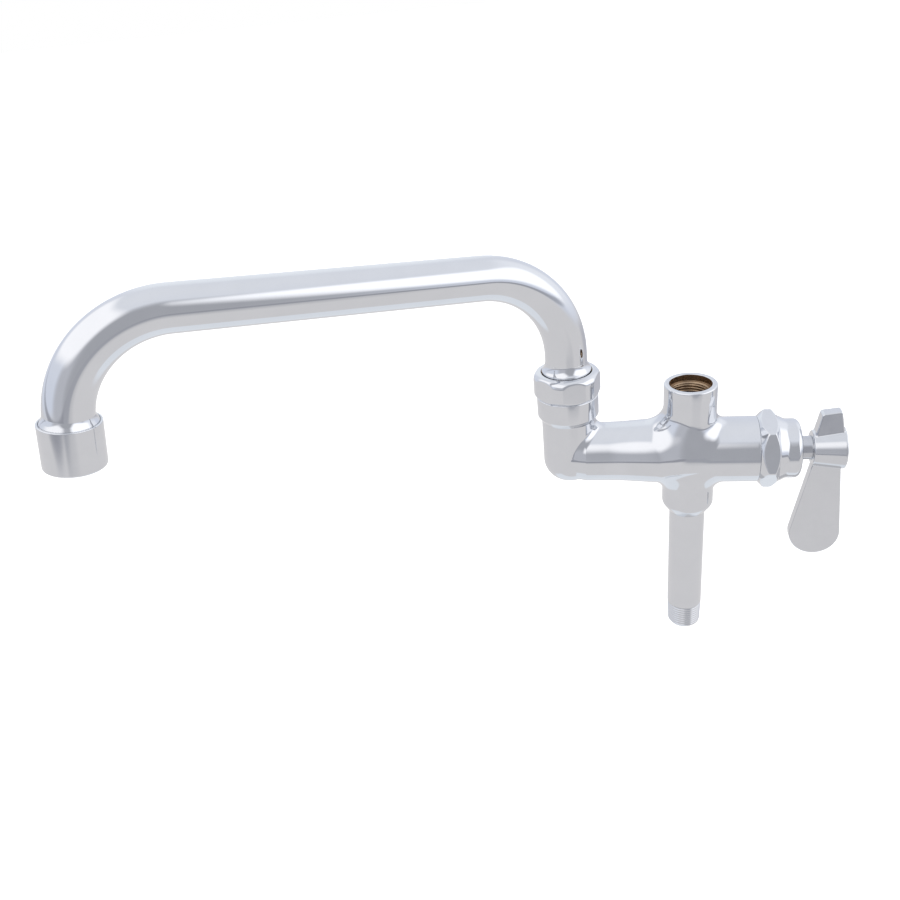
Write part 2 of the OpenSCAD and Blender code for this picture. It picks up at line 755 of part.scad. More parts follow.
module wing_outline() {
    polygon([[hub_mid - wing_root_w / 2, 0], [hub_mid - wing_root_w / 2, blade_foot],
             [hub_mid - wing_top_w / 2, wing_rise - wing_slope], [hub_mid + wing_top_w / 2, wing_rise],
             [hub_mid + wing_root_w / 2, blade_foot], [hub_mid + wing_root_w / 2, 0]]);
}

// A plate of thickness t that stands on the XZ plane about the valve axis
module plate(t) {
    translate([0, t / 2, axis_z]) rotate([90, 0, 0]) linear_extrude(t) children();
}

module lever_handle() {
    color("silver") difference() {
        union() {
            turned([[0, hub_x], [hub_d / 2 - hub_round / 2, hub_x], [hub_d / 2, hub_x + hub_round / 2],
                    [hub_end_d / 2, hub_end - hub_round], [hub_end_d / 2 - hub_round, hub_end],
                    [0, hub_end]]);
            plate(blade_t) blade_outline();
            plate(wing_t) wing_outline();
        }
        axial(spigot_d + 2 * fit_gap, hub_x - cut, web_x);
        axial(screw_d + 4 * fit_gap, web_x - cut, head_x + cut);
        axial(screw_head_d + 4 * fit_gap, head_x, hub_end + cut);
        axial(button_d + 2 * fit_gap, button_x, hub_end + cut);
    }
}

module handle_screw() {
    slot_w = 1;
    slot_depth = 0.8;
    color("gray") difference() {
        union() {
            axial(screw_d, head_x - screw_l, head_x + cut);
            axial(screw_head_d, head_x, head_x + screw_head_h);
        }
        translate([head_x + screw_head_h - slot_depth, -slot_w / 2, axis_z - screw_head_d])
            cube([slot_depth + cut, slot_w, 2 * screw_head_d]);
    }
}

module index_button() {
    crown = 0.5;
    color("firebrick") union() {
        axial(button_d, button_x, button_x + button_t - crown);
        turned([[0, button_x], [button_d / 2, button_x + button_t - crown],
                [button_d / 2 - crown, button_x + button_t], [0, button_x + button_t]]);
    }
}

body_casting();
inlet_nipple();
swivel_nut();
split_ring();
wear_washer();
swivel_seals();
spout_ferrule();
spout_tube();
outlet_adapter();
aerator_shell();
aerator_washer();
aerator_screen();
aerator_insert();
bonnet();
stem_seals();
stem_clip();
valve_stem();
cartridge_sleeve();
cartridge_gasket();
thrust_washer();
moving_disc();
fixed_disc();
seat_seal();
lever_handle();
handle_screw();
index_button();
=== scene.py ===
import json
import math

import bmesh
import bpy
import numpy as np
from mathutils import Matrix, Vector


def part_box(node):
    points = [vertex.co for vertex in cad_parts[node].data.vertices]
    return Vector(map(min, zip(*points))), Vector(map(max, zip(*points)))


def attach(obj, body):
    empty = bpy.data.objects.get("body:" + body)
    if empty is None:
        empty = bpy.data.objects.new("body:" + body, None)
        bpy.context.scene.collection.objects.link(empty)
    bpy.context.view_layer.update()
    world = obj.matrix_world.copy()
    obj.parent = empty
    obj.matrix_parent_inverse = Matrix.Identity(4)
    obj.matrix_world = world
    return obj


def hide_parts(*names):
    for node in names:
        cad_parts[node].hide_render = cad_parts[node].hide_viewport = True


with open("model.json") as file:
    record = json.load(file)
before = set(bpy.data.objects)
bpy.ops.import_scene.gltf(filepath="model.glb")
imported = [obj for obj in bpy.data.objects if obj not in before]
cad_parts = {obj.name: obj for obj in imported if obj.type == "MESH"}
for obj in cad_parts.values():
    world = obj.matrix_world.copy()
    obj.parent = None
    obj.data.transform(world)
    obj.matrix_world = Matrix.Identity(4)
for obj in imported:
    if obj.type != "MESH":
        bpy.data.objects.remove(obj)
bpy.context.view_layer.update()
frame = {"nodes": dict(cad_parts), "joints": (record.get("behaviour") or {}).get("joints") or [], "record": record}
print("frame loaded")

mm = 0.001
scene = bpy.context.scene
joints = {joint["name"]: joint for joint in frame["joints"]}
swivelX = joints["spout_swivel"]["pos_m"][0] / mm     # swivel axis
valveZ = joints["lever_turn"]["pos_m"][2] / mm        # valve axis
clearance = 0.05                                      # between screwed and seated pieces, millimetres


def low(node, axis):
    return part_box(node)[0][axis] / mm


def high(node, axis):
    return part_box(node)[1][axis] / mm


# mesh helpers, all in millimetres until finishPiece

upright = Matrix.Identity(4)
atSwivel = Matrix.Translation((swivelX, 0, 0))
alongValve = Matrix.Translation((0, 0, valveZ)) @ Matrix.Rotation(math.radians(90), 4, "Y")


def drawProfile(bm, corners, maxEdge=None):
    # corners are (radius, height, rounding); each rounding is a true fillet of that radius
    verts = [bm.verts.new((radius, 0, height)) for radius, height, _ in corners]
    for start, end in zip(verts, verts[1:]):
        bm.edges.new((start, end))
    for vert, (_, _, rounding) in zip(verts, corners):
        if not rounding:
            continue
        arms = [(edge.other_vert(vert).co - vert.co).normalized() for edge in vert.link_edges]
        opening = arms[0].angle(arms[1])
        bmesh.ops.bevel(bm, geom=[vert], offset=rounding / math.tan(opening / 2), offset_type="OFFSET",
                        affect="VERTICES", segments=8, profile=0.5, material=-1)
    while maxEdge:
        longEdges = [edge for edge in bm.edges if edge.calc_length() > maxEdge]
        if not longEdges:
            break
        bmesh.ops.subdivide_edges(bm, edges=longEdges, cuts=1)


def turned(corners, steps=30, maxEdge=None):
    # a sixth of the ring is spun in that many steps, and its copies close the ring
    bm = bmesh.new()
    drawProfile(bm, corners, maxEdge)
    sixth = math.tau / 6
    bmesh.ops.spin(bm, geom=bm.verts[:] + bm.edges[:], cent=(0, 0, 0), axis=(0, 0, 1),
                   angle=sixth, steps=steps)
    wedge = bm.verts[:] + bm.edges[:] + bm.faces[:]
    for turn in range(1, 6):
        copy = bmesh.ops.duplicate(bm, geom=wedge)["geom"]
        bmesh.ops.rotate(bm, verts=[item for item in copy if isinstance(item, bmesh.types.BMVert)],
                         cent=(0, 0, 0), matrix=Matrix.Rotation(turn * sixth, 3, "Z"))
    bmesh.ops.remove_doubles(bm, verts=bm.verts, dist=0.0005)
    bmesh.ops.recalc_face_normals(bm, faces=bm.faces)
    return bm


def addTo(bm, other, place=upright):
    other.transform(place)
    holder = bpy.data.meshes.new("holder")
    other.to_mesh(holder)
    other.free()
    start = len(bm.verts)
    bm.from_mesh(holder)
    bpy.data.meshes.remove(holder)
    bm.verts.ensure_lookup_table()
    return bm.verts[start:]


def finishPiece(name, bm, materials, body, nodes, weighted=True):
    bm.transform(Matrix.Scale(mm, 4))
    mesh = bpy.data.meshes.new(name)
    bm.to_mesh(mesh)
    bm.free()
    mesh.shade_smooth()
    piece = bpy.data.objects.new(name, mesh)
    scene.collection.objects.link(piece)
    for material in materials:
        mesh.materials.append(material)
    if weighted:
        shading = piece.modifiers.new("flat faces stay flat", "WEIGHTED_NORMAL")
        shading.keep_sharp = True
    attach(piece, body)
    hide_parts(*nodes)
    return piece


# forms: signed distances that blend with fillets of a real radius

def roundJoin(a, b, root):
    # union with a fillet
    return np.maximum(np.minimum(a, b), root) - np.hypot(np.maximum(root - a, 0), np.maximum(root - b, 0))


def roundMeet(a, b, edge):
    # intersection with a rounded edge
    return np.minimum(np.maximum(a, b), -edge) + np.hypot(np.maximum(a + edge, 0), np.maximum(b + edge, 0))


def ease(value, start, end):
    share = np.clip((value - start) / (end - start), 0, 1)
    return share * share * (3 - 2 * share)


def slope(form, points):
    step = 0.01
    change = [form(points + step * axis) - form(points - step * axis) for axis in np.eye(3)]
    normals = np.stack(change, axis=1)
    return normals / np.linalg.norm(normals, axis=1, keepdims=True)


def settle(form, points, rounds=8):
    # moves points straight onto the form's surface
    for _ in range(rounds):
        points = points - form(points)[:, None] * slope(form, points)
    return points


def skinForm(form, solids, voxel):
    # solids is a rough closed shape; it is remeshed and its points settle on the form
    solids.transform(Matrix.Scale(mm, 4))
    mesh = bpy.data.meshes.new("rough")
    solids.to_mesh(mesh)
    solids.free()
    rough = bpy.data.objects.new("rough", mesh)
    scene.collection.objects.link(rough)
    remesh = rough.modifiers.new("even faces", "REMESH")
    remesh.mode = "VOXEL"
    remesh.voxel_size = voxel * mm
    bpy.context.view_layer.update()
    depsgraph = bpy.context.evaluated_depsgraph_get()
    bm = bmesh.new()
    bm.from_object(rough, depsgraph)
    bpy.data.objects.remove(rough)
    bpy.data.meshes.remove(mesh)
    bm.transform(Matrix.Scale(1 / mm, 4))
    points = settle(form, np.array([vert.co for vert in bm.verts]))
    for vert, point in zip(bm.verts, points):
        vert.co = point
    return bm


def cutOpen(bm, point, outward, reach):
    # cuts off what lies outward of a plane, within reach of its point
    point = Vector(point)
    near = {vert for vert in bm.verts if (vert.co - point).length < reach}
    geom = list(near)
    geom += [edge for edge in bm.edges if near.issuperset(edge.verts)]
    geom += [face for face in bm.faces if near.issuperset(face.verts)]
    bmesh.ops.bisect_plane(bm, geom=geom, dist=0.0001, plane_co=point, plane_no=outward, clear_outer=True)


def openRim(bm, point, normal, reach=30):
    # the open edges that lie in a plane
    point, normal = Vector(point), Vector(normal)

    def onPlane(vert):
        away = vert.co - point
        return abs(away.dot(normal)) < 0.002 and away.length < reach

    return [edge for edge in bm.edges if edge.is_boundary and all(onPlane(vert) for vert in edge.verts)]


def bridge(bm, point, normal, step):
    # joins the open edge in a plane to the one that lies step further on
    further = Vector(point) + Vector(normal) * step
    near, far = openRim(bm, point, normal), openRim(bm, further, normal)
    bmesh.ops.bridge_loops(bm, edges=near + far)


def boredOut(bm, cutter):
    # takes one closed solid out of another
    solids = []
    for part in (bm, cutter):
        mesh = bpy.data.meshes.new("rough")
        part.to_mesh(mesh)
        part.free()
        solids.append(bpy.data.objects.new("rough", mesh))
        scene.collection.objects.link(solids[-1])
    bore = solids[0].modifiers.new("bore", "BOOLEAN")
    bore.operation = "DIFFERENCE"
    bore.solver = "EXACT"
    bore.object = solids[1]
    bpy.context.view_layer.update()
    bm = bmesh.new()
    bm.from_object(solids[0], bpy.context.evaluated_depsgraph_get())
    for solid in solids:
        mesh = solid.data
        bpy.data.objects.remove(solid)
        bpy.data.meshes.remove(mesh)
    return bm


def normalsFromForm(mesh, form):
    # points marked as lying on the form take their normals from it; the rest keep their own
    marks = np.zeros(len(mesh.vertices), int)
    mesh.attributes["onForm"].data.foreach_get("value", marks)
    points = np.array([vert.co for vert in mesh.vertices]) / mm
    normals = np.zeros((len(points), 3))
    normals[marks == 1] = slope(form, points[marks == 1])
    mesh.normals_split_custom_set_from_vertices(normals)


def markForm(bm):
    layer = bm.verts.layers.int.new("onForm")
    for vert in bm.verts:
        vert[layer] = 1


def helix(corners, pitch, turns, steps=96):
    # one turn is wound upwards from its profile, and copies are stacked on it
    bm = bmesh.new()
    drawProfile(bm, corners)
    bmesh.ops.spin(bm, geom=bm.verts[:] + bm.edges[:], cent=(0, 0, 0), axis=(0, 0, 1),
                   dvec=(0, 0, pitch / steps), angle=math.tau, steps=steps)
    lap = bm.verts[:] + bm.edges[:] + bm.faces[:]
    for turn in range(1, turns):
        copy = bmesh.ops.duplicate(bm, geom=lap)["geom"]
        bmesh.ops.translate(bm, verts=[item for item in copy if isinstance(item, bmesh.types.BMVert)],
                            vec=(0, 0, turn * pitch))
    bmesh.ops.remove_doubles(bm, verts=bm.verts, dist=0.002)
    return bm


# materials

def hexColour(code):
    channels = [int(code[i:i + 2], 16) / 255 for i in (0, 2, 4)]
    return tuple(c / 12.92 if c <= 0.04045 else ((c + 0.055) / 1.055) ** 2.4 for c in channels) + (1,)


def addNode(tree, kind, inputs=None, **settings):
    node = tree.nodes.new(kind)
    for name, value in settings.items():
        setattr(node, name, value)
    for name, value in (inputs or {}).items():
        if isinstance(value, bpy.types.NodeSocket):
            tree.links.new(value, node.inputs[name])
        else:
            node.inputs[name].default_value = value
    return node


def newMaterial(name):
    material = bpy.data.materials.new(name)
    material.use_nodes = True
    tree = material.node_tree
    shader = tree.nodes["Principled BSDF"]
    place = addNode(tree, "ShaderNodeTexCoord").outputs["Object"]
    return material, tree, shader, place


def perMetre(size):
    # texture scale for a pattern whose features are size millimetres across
    return 1 / (size * mm)


def dress(tree, shader, look, stain, wear, height, depth):
    # stain mixes the two colours, wear spreads the roughness, and height makes relief of that depth
    first, second = (hexColour(code) for code in look["colours"])
    smooth, rough = look["roughness"]
    tint = addNode(tree, "ShaderNodeMix", {"Factor": stain, "A": first, "B": second}, data_type="RGBA")
    shine = addNode(tree, "ShaderNodeMapRange", {
        "Value": wear, "From Min": 0.3, "From Max": 0.7, "To Min": smooth, "To Max": rough})
    bump = addNode(tree, "ShaderNodeBump", {"Height": height, "Strength": 1.0, "Distance": depth * mm})
    tree.links.new(tint.outputs["Result"], shader.inputs["Base Color"])
    tree.links.new(shine.outputs["Result"], shader.inputs["Roughness"])
    tree.links.new(bump.outputs["Normal"], shader.inputs["Normal"])


def platedChrome(name, look):
    # bright chrome plate: near mirror, a faint ripple from polishing and hazier patches
    material, tree, shader, place = newMaterial(name)
    shader.inputs["Metallic"].default_value = 1
    haze = addNode(tree, "ShaderNodeTexNoise", {
        "Vector": place, "Scale": perMetre(look["hazeSize"]), "Detail": 3.0}).outputs["Fac"]
    ripple = addNode(tree, "ShaderNodeTexNoise", {
        "Vector": place, "Scale": perMetre(look["rippleSize"]), "Detail": 1.0}).outputs["Fac"]
    dress(tree, shader, look, haze, haze, ripple, look["rippleDepth"])
    return material


castChrome = platedChrome("chrome plate on polished cast brass", {
    "colours": ("D6D8DC", "DEE0E4"),
    "roughness": (0.05, 0.09),
    "hazeSize": 9,
    "rippleSize": 7,
    "rippleDepth": 0.010,
})
tubeChrome = platedChrome("chrome plate on drawn brass tube", {
    "colours": ("D6D8DC", "DEE0E4"),
    "roughness": (0.05, 0.08),
    "hazeSize": 14,
    "rippleSize": 12,
    "rippleDepth": 0.006,
})
turnedChrome = platedChrome("chrome plate on turned brass", {
    "colours": ("D6D8DC", "DEE0E4"),
    "roughness": (0.05, 0.08),
    "hazeSize": 5,
    "rippleSize": 4,
    "rippleDepth": 0.002,
})
leverChrome = platedChrome("chrome plate on die-cast zinc", {
    "colours": ("D2D4D8", "DADCE0"),
    "roughness": (0.08, 0.13),
    "hazeSize": 6,
    "rippleSize": 5,
    "rippleDepth": 0.005,
})


def turnedMetal(name, look):
    # bare metal off the lathe: rings round the axis and a duller shine
    # real rings are finer than these, which are as coarse as they need to show
    material, tree, shader, place = newMaterial(name)
    shader.inputs["Metallic"].default_value = 1
    stain = addNode(tree, "ShaderNodeTexNoise", {
        "Vector": place, "Scale": perMetre(look["stainSize"]), "Detail": 4.0}).outputs["Fac"]
    stretch = addNode(tree, "ShaderNodeMapping", {"Vector": place, "Scale": look["across"]}).outputs["Vector"]
    marks = addNode(tree, "ShaderNodeTexNoise", {
        "Vector": stretch, "Scale": perMetre(look["markSize"]), "Detail": 2.0}).outputs["Fac"]
    dress(tree, shader, look, stain, marks, marks, look["markDepth"])
    return material


machinedBrass = turnedMetal("brass as tapped and bored", {
    "colours": ("8A7865", "B59D83"),
    "roughness": (0.22, 0.38),
    "stainSize": 4,
    "across": (0.05, 0.05, 1),
    "markSize": 0.25,
    "markDepth": 0.008,
})
turnedSteel = turnedMetal("stainless steel off the lathe", {
    "colours": ("BCBEC3", "CED0D5"),
    "roughness": (0.10, 0.17),
    "stainSize": 3,
    "across": (1, 0.05, 0.05),
    "markSize": 0.25,
    "markDepth": 0.006,
})


def moulded(name, look):
    # moulded or pressed stuff: an even skin with a fine grain and soft highlights
    material, tree, shader, place = newMaterial(name)
    grain = addNode(tree, "ShaderNodeTexNoise", {
        "Vector": place, "Scale": perMetre(look["grainSize"]), "Detail": 3.0}).outputs["Fac"]
    dress(tree, shader, look, grain, grain, grain, look["grainDepth"])
    shader.inputs["IOR"].default_value = look["ior"]
    return material


nitrileRubber = moulded("nitrile rubber, moulded", {
    "colours": ("17181A", "222326"), "roughness": (0.45, 0.6), "ior": 1.52,
    "grainSize": 0.4, "grainDepth": 0.004,
})
bearingPlastic = moulded("PTFE, skived", {
    "colours": ("E6E6E2", "F0F0EC"), "roughness": (0.4, 0.5), "ior": 1.35,
    "grainSize": 0.5, "grainDepth": 0.004,
})
pressedFibre = moulded("vulcanised fibre, pressed", {
    "colours": ("6E2F1B", "8C4226"), "roughness": (0.6, 0.75), "ior": 1.5,
    "grainSize": 0.3, "grainDepth": 0.01,
})
lappedCeramic = moulded("alumina ceramic, lapped", {
    "colours": ("EAE6DA", "F3F0E7"), "roughness": (0.12, 0.2), "ior": 1.76,
    "grainSize": 0.3, "grainDepth": 0.001,
})
mouldedAcetal = moulded("acetal, moulded", {
    "colours": ("DCDDDE", "E8E9EA"), "roughness": (0.3, 0.4), "ior": 1.48,
    "grainSize": 0.6, "grainDepth": 0.003,
})
redPlastic = moulded("ABS, moulded and glossy", {
    "colours": ("A3160F", "B01C14"), "roughness": (0.1, 0.18), "ior": 1.54,
    "grainSize": 0.8, "grainDepth": 0.002,
})
print("materials made")


# body casting

casting = {
    "armRadius": 14.4,
    "endRadius": 15.7,
    "swell": (-38, -11),        # stretch where the arm widens towards the valve
    "taper": 8,                 # length in which the arm narrows to the leg
    "legRadius": 12.75, "legLow": -13.8,
    "elbowRound": 11,
    "innerRoot": 5,             # fillet in the corner between leg and arm
    "creaseRoot": 2.2,          # and at its sides
    "creaseAcross": (2, 11),    # stretches over which that fillet changes, sideways,
    "creaseUp": (-11, 3),       # upwards
    "creaseAlong": (0, 7),      # and along the arm
    "bossRadius": 12.25,
    "topRoot": (9, 5.5),        # fillets of the top boss, swivel side and valve side
    "topRootAlong": (-8, 8),
    "lowRoot": 5.7,
    "collarRadius": 14.6,
    "collarLow": 22,
    "collarSlope": 2.7,
    "rimRadius": 12.8,
    "swivelBore": (9.95, 8.5, 4),   # radii for the ferrule and the water, height of the floor
    "chamber": (12.1, 10),      # radius of the valve chamber, place of its floor
    "bossSlope": 4.6,           # height of the slope that closes the lower boss
    "recess": (9.75, 3.5),      # radius and depth, above the riser's thread
    "riserThread": (0.6, 12.6), # depths below the recess at which it starts and ends
    "riserMajor": 8.65,         # outside radius of that thread
    "supplyRadius": 6.2,
    "supplySlope": 1.6,         # length in which the thread's bore narrows to the supply way
    "mouth": 0.6,               # chamfer round the nipple
    "turnedEnds": {"top": 5, "low": 11, "leg": 0.4, "valve": 1.7},  # lengths, where the cast skin stops
    "voxel": 0.5,
}
riserZ = frame["record"]["mounts"][1]["pos_m"][2] / mm - valveZ     # floor of the riser recess
bossTop = riserZ + casting["recess"][1]
bodyLow = low("body_casting", 2) - valveZ
valveEnd = high("body_casting", 0)
nippleRadius = high("inlet_nipple", 0)
nippleTop = high("inlet_nipple", 2) - valveZ
nutLow = low("swivel_nut", 2) - valveZ
rimTop = low("wear_washer", 2) - valveZ
onValve = Matrix.Translation((0, 0, valveZ))
pipeThread = {"pitch": 25.4 / 18, "depth": 0.95, "laps": 11}


def castingForm(points):
    x, y, z = points.T
    size = casting
    along = x - swivelX
    narrow = (size["armRadius"] - size["legRadius"]) * np.clip(1 - along / size["taper"], 0, 1)
    armRadius = size["armRadius"] - narrow + (size["endRadius"] - size["armRadius"]) * ease(x, *size["swell"])
    arm = np.hypot(np.minimum(along, 0), np.hypot(y, z)) - armRadius
    leg = roundMeet(np.hypot(along, y) - size["legRadius"], size["legLow"] - z, size["elbowRound"])
    inside = 1 - ease(np.abs(y), *size["creaseAcross"])
    corner = size["creaseRoot"] + (size["innerRoot"] - size["creaseRoot"]) * inside
    corner *= ease(z, *size["creaseUp"]) * ease(along, *size["creaseAlong"])
    body = roundJoin(arm, leg, corner)
    boss = np.hypot(x, y) - size["bossRadius"]
    topRoot = size["topRoot"][0] + (size["topRoot"][1] - size["topRoot"][0]) * ease(x, *size["topRootAlong"])
    body = roundJoin(body, np.maximum(boss, -z), topRoot)
    return roundJoin(body, np.maximum(boss, z), size["lowRoot"])


def roughBar(bm, radius, start, end, place=upright, endRadius=None):
    bmesh.ops.create_cone(bm, cap_ends=True, segments=64, radius1=radius, radius2=endRadius or radius,
                          depth=end - start, matrix=place @ Matrix.Translation((0, 0, (start + end) / 2)))


def makeCasting():
    size = casting
    lap = 0.2                   # strip between the casting's skin and a turned end
    alongX = Matrix.Rotation(math.radians(90), 4, "Y")
    solids = bmesh.new()
    roughBar(solids, size["armRadius"] + 1, swivelX, valveEnd + 2, alongX)
    roughBar(solids, size["legRadius"], size["legLow"], size["collarLow"], atSwivel)
    roughBar(solids, size["bossRadius"], bodyLow + 4, bossTop - 2)
    bm = skinForm(castingForm, solids, size["voxel"])
    ends = size["turnedEnds"]
    topCut = (0, 0, bossTop - ends["top"])
    lowCut = (0, 0, bodyLow + ends["low"])
    legCut = (swivelX, 0, size["collarLow"] - size["collarSlope"] - ends["leg"])
    valveCut = (valveEnd - ends["valve"], 0, 0)
    up, down, right = (0, 0, 1), (0, 0, -1), (1, 0, 0)
    cutOpen(bm, topCut, up, 20)
    cutOpen(bm, lowCut, down, 20)
    cutOpen(bm, legCut, up, 20)
    cutOpen(bm, valveCut, right, 25)
    markForm(bm)

    # collar and threaded rim round the spout's bore, closed below
    collar, collarLow = size["collarRadius"], size["collarLow"]
    socket, waterway, swivelFloor = size["swivelBore"]
    addTo(bm, turned([
        (size["legRadius"], legCut[2] + lap, 0), (size["legRadius"], collarLow - size["collarSlope"], 0.5),
        (collar, collarLow, 0.6), (collar, nutLow, 0.5), (size["rimRadius"], nutLow, 0),
        (size["rimRadius"], rimTop, 0.3), (socket, rimTop, 0.3), (socket, collarLow, 0),
        (waterway, collarLow, 0), (waterway, swivelFloor, 0), (0, swivelFloor, 0)]), atSwivel)
    bridge(bm, legCut, up, lap)

    # valve chamber
    chamber, chamberFloor = size["chamber"]
    addTo(bm, turned([
        (size["endRadius"], valveCut[0] + lap, 0), (size["endRadius"], valveEnd, 0.4),
        (chamber, valveEnd, 0.2), (chamber, chamberFloor, 0), (0, chamberFloor, 0)]), alongX)
    bridge(bm, valveCut, right, lap)

    # rim of the top boss, thread for the riser, supply way and nipple socket
    recess = size["recess"][0]
    threadTop, threadEnd = (riserZ - depth for depth in size["riserThread"])
    major, pitch = size["riserMajor"], pipeThread["pitch"]
    minor = major - pipeThread["depth"]
    addTo(bm, turned([
        (size["bossRadius"], topCut[2] + lap, 0), (size["bossRadius"], bossTop, 0.9), (recess, bossTop, 0.35),
        (recess, riserZ, 0.2), (major + 0.25, riserZ, 0.1), (major, threadTop + lap, 0)]))
    bridge(bm, topCut, up, lap)
    thread = helix([(minor, 0, 0), (major, 0.5 * pitch - 0.05, 0.1), (minor, pitch, 0)],
                   pitch, pipeThread["laps"])
    thread.transform(Matrix.Translation((0, 0, threadEnd - 1.5 * pitch)))
    cutOpen(thread, (0, 0, threadTop), up, 20)
    cutOpen(thread, (0, 0, threadEnd), down, 20)
    addTo(bm, thread)
    bridge(bm, (0, 0, threadTop), up, lap)
    supply, socket = size["supplyRadius"], nippleRadius + clearance
    addTo(bm, turned([
        (minor, threadEnd - lap, 0), (supply, threadEnd - size["supplySlope"], 0), (supply, nippleTop, 0),
        (socket, nippleTop, 0), (socket, bodyLow, 0.15), (nippleRadius + size["mouth"], bodyLow, 0.3),
        (size["bossRadius"], bodyLow + size["bossSlope"], 3.5), (size["bossRadius"], lowCut[2] - lap, 0)]))
    bridge(bm, (0, 0, threadEnd), down, lap)
    bridge(bm, lowCut, down, lap)
    bmesh.ops.recalc_face_normals(bm, faces=bm.faces)
    for face in bm.faces:
        middle = face.calc_center_median()
        inBore = math.hypot(middle.x, middle.y) < recess + 0.05 and middle.z < bossTop - 0.3
        face.material_index = 1 if inBore else 0
    bm.transform(onValve)
    piece = finishPiece("cast_body", bm, [castChrome, machinedBrass], "body",
                        ["body_casting"], False)
    normalsFromForm(piece.data, lambda points: castingForm(points - np.array((0, 0, valveZ))))


makeCasting()
print("casting made")


# inlet nipple

nipple = {
    "bore": 6.25,
    "threadLength": 12.8,
    "root": 0.65,               # depth of the thread
    "crest": 0.35,              # rounding of its crest
    "taper": 1 / 32,            # on the radius, as pipe threads have
    "chamfer": 1.4,             # at the thread's start
    "chamferSlope": 0.9,        # its rise in radius over length
    "start": 0.5,               # where the thread meets the turned end
    "runOut": (0.5, 0.8),       # depth and length of the groove where the thread ends
}


def makeNipple():
    size = nipple
    radius, top = nippleRadius, high("inlet_nipple", 2)
    length, endZ, pitch = size["threadLength"], size["start"], pipeThread["pitch"]
    root, start = radius - size["root"], radius - size["chamfer"]
    runOutDepth, runOutLength = size["runOut"]
    lap = 0.15
    bm = helix([(root, 0, 0), (radius, 0.5 * pitch, size["crest"]), (root, pitch, 0)],
               pitch, pipeThread["laps"])
    bm.transform(Matrix.Translation((0, 0, -1)))
    cutOpen(bm, (0, 0, length), (0, 0, 1), 10)
    cutOpen(bm, (0, 0, endZ), (0, 0, -1), 10)
    for vert in bm.verts:
        reach = math.hypot(vert.co.x, vert.co.y)
        shrink = 1 - size["taper"] * (length - vert.co.z) / radius
        shrink = min(shrink, (start + size["chamferSlope"] * (vert.co.z - endZ)) / reach)
        vert.co.x *= shrink
        vert.co.y *= shrink
    addTo(bm, turned([
        (radius - runOutDepth, length + lap, 0), (radius, length + runOutLength, 0.2), (radius, top, 0.3),
        (size["bore"], top, 0.3), (size["bore"], 0, 0.15), (start - 0.4, 0, 0.1),
        (start - 0.1, endZ - lap, 0)]))
    bridge(bm, (0, 0, length), (0, 0, 1), lap)
    bridge(bm, (0, 0, endZ), (0, 0, -1), lap)
    bmesh.ops.recalc_face_normals(bm, faces=bm.faces)
    finishPiece("threaded_nipple", bm, [tubeChrome], "body", ["inlet_nipple"])


makeNipple()
print("nipple made")


# swivel nut and bonnet: turned blanks with six flats milled on them

def millFlats(bm, flatRadius, turn, edge):
    # pulls in what stands proud of the six flats, with a rounded edge
    for vert in bm.verts:
        radius = math.hypot(vert.co.x, vert.co.y)
        if radius < flatRadius - 2 * edge:
            continue
        angle = math.atan2(vert.co.y, vert.co.x) - turn
        offset = (angle + math.pi / 6) % (math.pi / 3) - math.pi / 6
        flat = flatRadius / math.cos(offset)
        gap = max(edge - abs(radius - flat), 0) / edge
        milled = min(radius, flat) - edge * gap * gap / 4
        vert.co.x *= milled / radius
        vert.co.y *= milled / radius


swivelNut = {
    "flats": 29.6, "corners": 31.6,     # across them
    "turn": 16.4,                       # degrees
    "topRound": 3.5, "lowSlope": 1.6,
    "footStep": 0.35,                   # by which its foot is narrower than the collar
    "opening": 12.0, "lip": 1.5,
}


def makeSwivelNut():
    size = swivelNut
    bottom, top = low("swivel_nut", 2), high("swivel_nut", 2)
    outer = size["corners"] / 2
    cavity, foot = casting["rimRadius"] + clearance, casting["collarRadius"] - size["footStep"]
    bm = turned([
        (cavity, bottom, 0), (foot, bottom, 0.2), (outer, bottom + size["lowSlope"], 0.4),
        (outer, top, size["topRound"]), (size["opening"], top, 0.3), (size["opening"], top - size["lip"], 0),
        (cavity, top - size["lip"], 0), (cavity, bottom, 0)], steps=60, maxEdge=0.35)
    millFlats(bm, size["flats"] / 2, math.radians(size["turn"] + 30), 0.35)
    bm.transform(atSwivel)
    finishPiece("six_sided_nut", bm, [turnedChrome], "body", ["swivel_nut"], False)


bonnet = {
    "flats": 33, "corners": 37.7,
    "turn": 41,
    "hexLength": 8.0,
    "hexSlope": (1.6, 0.6, 0.4),        # starts before the hexagon's end, ends past it, below the flats
    "cove": 4.6,                        # run of the cove behind the hexagon
    "barrel": 14.1, "shoulder": 2.6,
    "face": 7.4, "faceSlope": 0.8,
    "stemHole": 5.65,
    "spigot": 12.05,                    # part that screws into the body
}


def makeBonnet():
    size = bonnet
    first, start, end = low("bonnet", 0), valveEnd, high("bonnet", 0)
    outer, flat = size["corners"] / 2, size["flats"] / 2
    body, barrel, hole, spigot = casting["endRadius"], size["barrel"], size["stemHole"], size["spigot"]
    hexEnd = start + size["hexLength"]
    before, past, under = size["hexSlope"]
    bm = turned([
        (hole, first, 0), (spigot, first, 0.3), (spigot, start, 0), (body - 0.2, start, 0.2),
        (outer, start + outer - body, 1.2), (outer, hexEnd - before, 1.2), (flat - under, hexEnd + past, 1.0),
        (barrel, hexEnd + size["cove"], 3.0), (barrel, end - size["faceSlope"], size["shoulder"]),
        (size["face"], end, 0.6), (hole, end, 0.2), (hole, first, 0)], steps=60, maxEdge=0.55)
    millFlats(bm, flat, math.radians(size["turn"] + 30), 0.35)
    bm.transform(alongValve)
    finishPiece("valve_bonnet", bm, [turnedChrome], "body", ["bonnet"], False)


makeSwivelNut()
makeBonnet()
print("nuts made")


# spout

